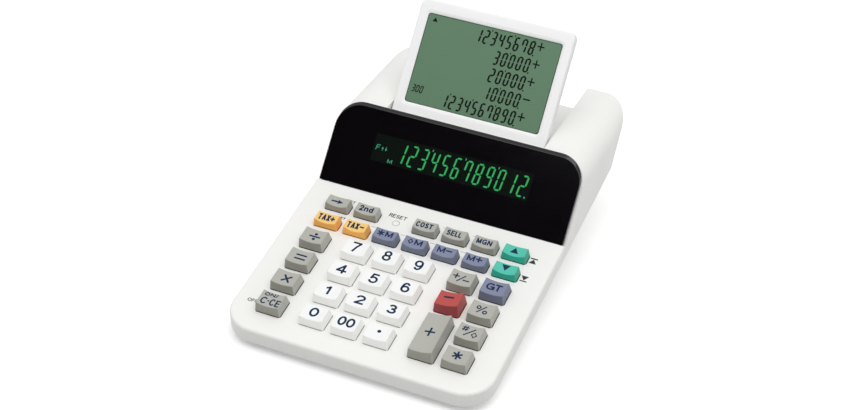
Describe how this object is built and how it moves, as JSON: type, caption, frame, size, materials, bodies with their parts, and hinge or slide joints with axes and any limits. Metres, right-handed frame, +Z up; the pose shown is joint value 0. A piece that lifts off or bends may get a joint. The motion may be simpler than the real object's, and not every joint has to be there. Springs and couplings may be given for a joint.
{
  "type": "desktop calculator",
  "caption": "Desktop calculator with a sloped keyboard, a dark display window and a second, flip-up screen that folds back between two rear arms.",
  "frame": {"origin": "on the table, in the middle of the calculator's width and depth", "axes": "+X to the user's right, +Y towards the back, +Z up"},
  "size_m": [0.1556, 0.2362, 0.1272],
  "materials": {
    "case_plastic": "fine satin texture",
    "base_plastic": "fine satin texture",
    "window_acrylic": "polished, smoked",
    "screen_glass": "smooth, slightly satin",
    "module_plastic": "moulded",
    "board_laminate": "solder resist",
    "membrane_rubber": "matte silicone",
    "foot_rubber": "matte",
    "steel": "plated",
    "battery_sleeve": "shrink sleeve",
    "key_white_plastic": "satin",
    "key_grey_plastic": "satin",
    "key_orange_plastic": "satin",
    "key_violet_plastic": "satin",
    "key_teal_plastic": "satin",
    "key_red_plastic": "satin"
  },
  "bodies": {
    "housing": {"top_case": "case_plastic", "base_case": "base_plastic", "display_window": "window_acrylic", "display_module": "module_plastic", "main_board": "board_laminate", "key_membrane": "membrane_rubber", "battery_1": "battery_sleeve", "battery_2": "battery_sleeve", "battery_3": "battery_sleeve", "battery_4": "battery_sleeve", "battery_contacts": "steel", "power_jack": "module_plastic", "foot_front_left": "foot_rubber", "foot_front_right": "foot_rubber", "foot_rear_left": "foot_rubber", "foot_rear_right": "foot_rubber", "screen_cable": "membrane_rubber"},
    "screen": {"screen_frame": "case_plastic", "screen_back_cover": "case_plastic", "screen_glass": "screen_glass", "hinge_pin_left": "steel", "hinge_pin_right": "steel"},
    "battery_door": {"battery_door": "base_plastic"},
    "reset_button": {"reset_button": "key_grey_plastic"},
    "key_0": {"key_0": "key_white_plastic"},
    "key_00": {"key_00": "key_white_plastic"},
    "key_point": {"key_point": "key_white_plastic"},
    "key_1": {"key_1": "key_white_plastic"},
    "key_2": {"key_2": "key_white_plastic"},
    "key_3": {"key_3": "key_white_plastic"},
    "key_4": {"key_4": "key_white_plastic"},
    "key_5": {"key_5": "key_white_plastic"},
    "key_6": {"key_6": "key_white_plastic"},
    "key_7": {"key_7": "key_white_plastic"},
    "key_8": {"key_8": "key_white_plastic"},
    "key_9": {"key_9": "key_white_plastic"},
    "key_on_clear": {"key_on_clear": "key_grey_plastic"},
    "key_multiply": {"key_multiply": "key_grey_plastic"},
    "key_equals": {"key_equals": "key_grey_plastic"},
    "key_divide": {"key_divide": "key_grey_plastic"},
    "key_plus": {"key_plus": "key_grey_plastic"},
    "key_sign_change": {"key_sign_change": "key_grey_plastic"},
    "key_total": {"key_total": "key_grey_plastic"},
    "key_subtotal": {"key_subtotal": "key_grey_plastic"},
    "key_percent": {"key_percent": "key_grey_plastic"},
    "key_backspace": {"key_backspace": "key_grey_plastic"},
    "key_second": {"key_second": "key_grey_plastic"},
    "key_cost": {"key_cost": "key_grey_plastic"},
    "key_sell": {"key_sell": "key_grey_plastic"},
    "key_margin": {"key_margin": "key_grey_plastic"},
    "key_grand_total": {"key_grand_total": "key_violet_plastic"},
    "key_memory_total": {"key_memory_total": "key_violet_plastic"},
    "key_memory_subtotal": {"key_memory_subtotal": "key_violet_plastic"},
    "key_memory_minus": {"key_memory_minus": "key_violet_plastic"},
    "key_memory_plus": {"key_memory_plus": "key_violet_plastic"},
    "key_tax_plus": {"key_tax_plus": "key_orange_plastic"},
    "key_tax_minus": {"key_tax_minus": "key_orange_plastic"},
    "key_scroll_up": {"key_scroll_up": "key_teal_plastic"},
    "key_scroll_down": {"key_scroll_down": "key_teal_plastic"},
    "key_minus": {"key_minus": "key_red_plastic"}
  },
  "joints": [
    {"name": "screen_fold", "type": "hinge", "parent": "housing", "child": "screen", "pos_m": [0, 0.04533, 0.06886], "axis": [1, 0, 0], "range_deg": [-53.5, 0]},
    {"name": "battery_door_slide", "type": "slide", "parent": "housing", "child": "battery_door", "axis": [0, 1, 0], "range_m": [0, 0.06]},
    {"name": "reset_press", "type": "slide", "parent": "housing", "child": "reset_button", "axis": [0, 0.1822, -0.9833], "range_m": [0, 0.001], "stiffness_N_per_m": 300},
    {"name": "key_0_press", "type": "slide", "parent": "housing", "child": "key_0", "axis": [0, 0.1822, -0.9833], "range_m": [0, 0.0025], "stiffness_N_per_m": 240},
    {"name": "key_00_press", "type": "slide", "parent": "housing", "child": "key_00", "axis": [0, 0.1822, -0.9833], "range_m": [0, 0.0025], "stiffness_N_per_m": 240},
    {"name": "key_point_press", "type": "slide", "parent": "housing", "child": "key_point", "axis": [0, 0.1822, -0.9833], "range_m": [0, 0.0025], "stiffness_N_per_m": 240},
    {"name": "key_1_press", "type": "slide", "parent": "housing", "child": "key_1", "axis": [0, 0.1822, -0.9833], "range_m": [0, 0.0025], "stiffness_N_per_m": 240},
    {"name": "key_2_press", "type": "slide", "parent": "housing", "child": "key_2", "axis": [0, 0.1822, -0.9833], "range_m": [0, 0.0025], "stiffness_N_per_m": 240},
    {"name": "key_3_press", "type": "slide", "parent": "housing", "child": "key_3", "axis": [0, 0.1822, -0.9833], "range_m": [0, 0.0025], "stiffness_N_per_m": 240},
    {"name": "key_4_press", "type": "slide", "parent": "housing", "child": "key_4", "axis": [0, 0.1822, -0.9833], "range_m": [0, 0.0025], "stiffness_N_per_m": 240},
    {"name": "key_5_press", "type": "slide", "parent": "housing", "child": "key_5", "axis": [0, 0.1822, -0.9833], "range_m": [0, 0.0025], "stiffness_N_per_m": 240},
    {"name": "key_6_press", "type": "slide", "parent": "housing", "child": "key_6", "axis": [0, 0.1822, -0.9833], "range_m": [0, 0.0025], "stiffness_N_per_m": 240},
    {"name": "key_7_press", "type": "slide", "parent": "housing", "child": "key_7", "axis": [0, 0.1822, -0.9833], "range_m": [0, 0.0025], "stiffness_N_per_m": 240},
    {"name": "key_8_press", "type": "slide", "parent": "housing", "child": "key_8", "axis": [0, 0.1822, -0.9833], "range_m": [0, 0.0025], "stiffness_N_per_m": 240},
    {"name": "key_9_press", "type": "slide", "parent": "housing", "child": "key_9", "axis": [0, 0.1822, -0.9833], "range_m": [0, 0.0025], "stiffness_N_per_m": 240},
    {"name": "key_on_clear_press", "type": "slide", "parent": "housing", "child": "key_on_clear", "axis": [0, 0.1822, -0.9833], "range_m": [0, 0.0025], "stiffness_N_per_m": 240},
    {"name": "key_multiply_press", "type": "slide", "parent": "housing", "child": "key_multiply", "axis": [0, 0.1822, -0.9833], "range_m": [0, 0.0025], "stiffness_N_per_m": 240},
    {"name": "key_equals_press", "type": "slide", "parent": "housing", "child": "key_equals", "axis": [0, 0.1822, -0.9833], "range_m": [0, 0.0025], "stiffness_N_per_m": 240},
    {"name": "key_divide_press", "type": "slide", "parent": "housing", "child": "key_divide", "axis": [0, 0.1822, -0.9833], "range_m": [0, 0.0025], "stiffness_N_per_m": 240},
    {"name": "key_plus_press", "type": "slide", "parent": "housing", "child": "key_plus", "axis": [0, 0.1822, -0.9833], "range_m": [0, 0.0025], "stiffness_N_per_m": 240},
    {"name": "key_sign_change_press", "type": "slide", "parent": "housing", "child": "key_sign_change", "axis": [0, 0.1822, -0.9833], "range_m": [0, 0.0025], "stiffness_N_per_m": 240},
    {"name": "key_total_press", "type": "slide", "parent": "housing", "child": "key_total", "axis": [0, 0.1822, -0.9833], "range_m": [0, 0.0025], "stiffness_N_per_m": 240},
    {"name": "key_subtotal_press", "type": "slide", "parent": "housing", "child": "key_subtotal", "axis": [0, 0.1822, -0.9833], "range_m": [0, 0.0025], "stiffness_N_per_m": 240},
    {"name": "key_percent_press", "type": "slide", "parent": "housing", "child": "key_percent", "axis": [0, 0.1822, -0.9833], "range_m": [0, 0.0025], "stiffness_N_per_m": 240},
    {"name": "key_backspace_press", "type": "slide", "parent": "housing", "child": "key_backspace", "axis": [0, 0.1822, -0.9833], "range_m": [0, 0.0025], "stiffness_N_per_m": 240},
    {"name": "key_second_press", "type": "slide", "parent": "housing", "child": "key_second", "axis": [0, 0.1822, -0.9833], "range_m": [0, 0.0025], "stiffness_N_per_m": 240},
    {"name": "key_cost_press", "type": "slide", "parent": "housing", "child": "key_cost", "axis": [0, 0.1822, -0.9833], "range_m": [0, 0.0025], "stiffness_N_per_m": 240},
    {"name": "key_sell_press", "type": "slide", "parent": "housing", "child": "key_sell", "axis": [0, 0.1822, -0.9833], "range_m": [0, 0.0025], "stiffness_N_per_m": 240},
    {"name": "key_margin_press", "type": "slide", "parent": "housing", "child": "key_margin", "axis": [0, 0.1822, -0.9833], "range_m": [0, 0.0025], "stiffness_N_per_m": 240},
    {"name": "key_grand_total_press", "type": "slide", "parent": "housing", "child": "key_grand_total", "axis": [0, 0.1822, -0.9833], "range_m": [0, 0.0025], "stiffness_N_per_m": 240},
    {"name": "key_memory_total_press", "type": "slide", "parent": "housing", "child": "key_memory_total", "axis": [0, 0.1822, -0.9833], "range_m": [0, 0.0025], "stiffness_N_per_m": 240},
    {"name": "key_memory_subtotal_press", "type": "slide", "parent": "housing", "child": "key_memory_subtotal", "axis": [0, 0.1822, -0.9833], "range_m": [0, 0.0025], "stiffness_N_per_m": 240},
    {"name": "key_memory_minus_press", "type": "slide", "parent": "housing", "child": "key_memory_minus", "axis": [0, 0.1822, -0.9833], "range_m": [0, 0.0025], "stiffness_N_per_m": 240},
    {"name": "key_memory_plus_press", "type": "slide", "parent": "housing", "child": "key_memory_plus", "axis": [0, 0.1822, -0.9833], "range_m": [0, 0.0025], "stiffness_N_per_m": 240},
    {"name": "key_tax_plus_press", "type": "slide", "parent": "housing", "child": "key_tax_plus", "axis": [0, 0.1822, -0.9833], "range_m": [0, 0.0025], "stiffness_N_per_m": 240},
    {"name": "key_tax_minus_press", "type": "slide", "parent": "housing", "child": "key_tax_minus", "axis": [0, 0.1822, -0.9833], "range_m": [0, 0.0025], "stiffness_N_per_m": 240},
    {"name": "key_scroll_up_press", "type": "slide", "parent": "housing", "child": "key_scroll_up", "axis": [0, 0.1822, -0.9833], "range_m": [0, 0.0025], "stiffness_N_per_m": 240},
    {"name": "key_scroll_down_press", "type": "slide", "parent": "housing", "child": "key_scroll_down", "axis": [0, 0.1822, -0.9833], "range_m": [0, 0.0025], "stiffness_N_per_m": 240},
    {"name": "key_minus_press", "type": "slide", "parent": "housing", "child": "key_minus", "axis": [0, 0.1822, -0.9833], "range_m": [0, 0.0025], "stiffness_N_per_m": 240}
  ]
}
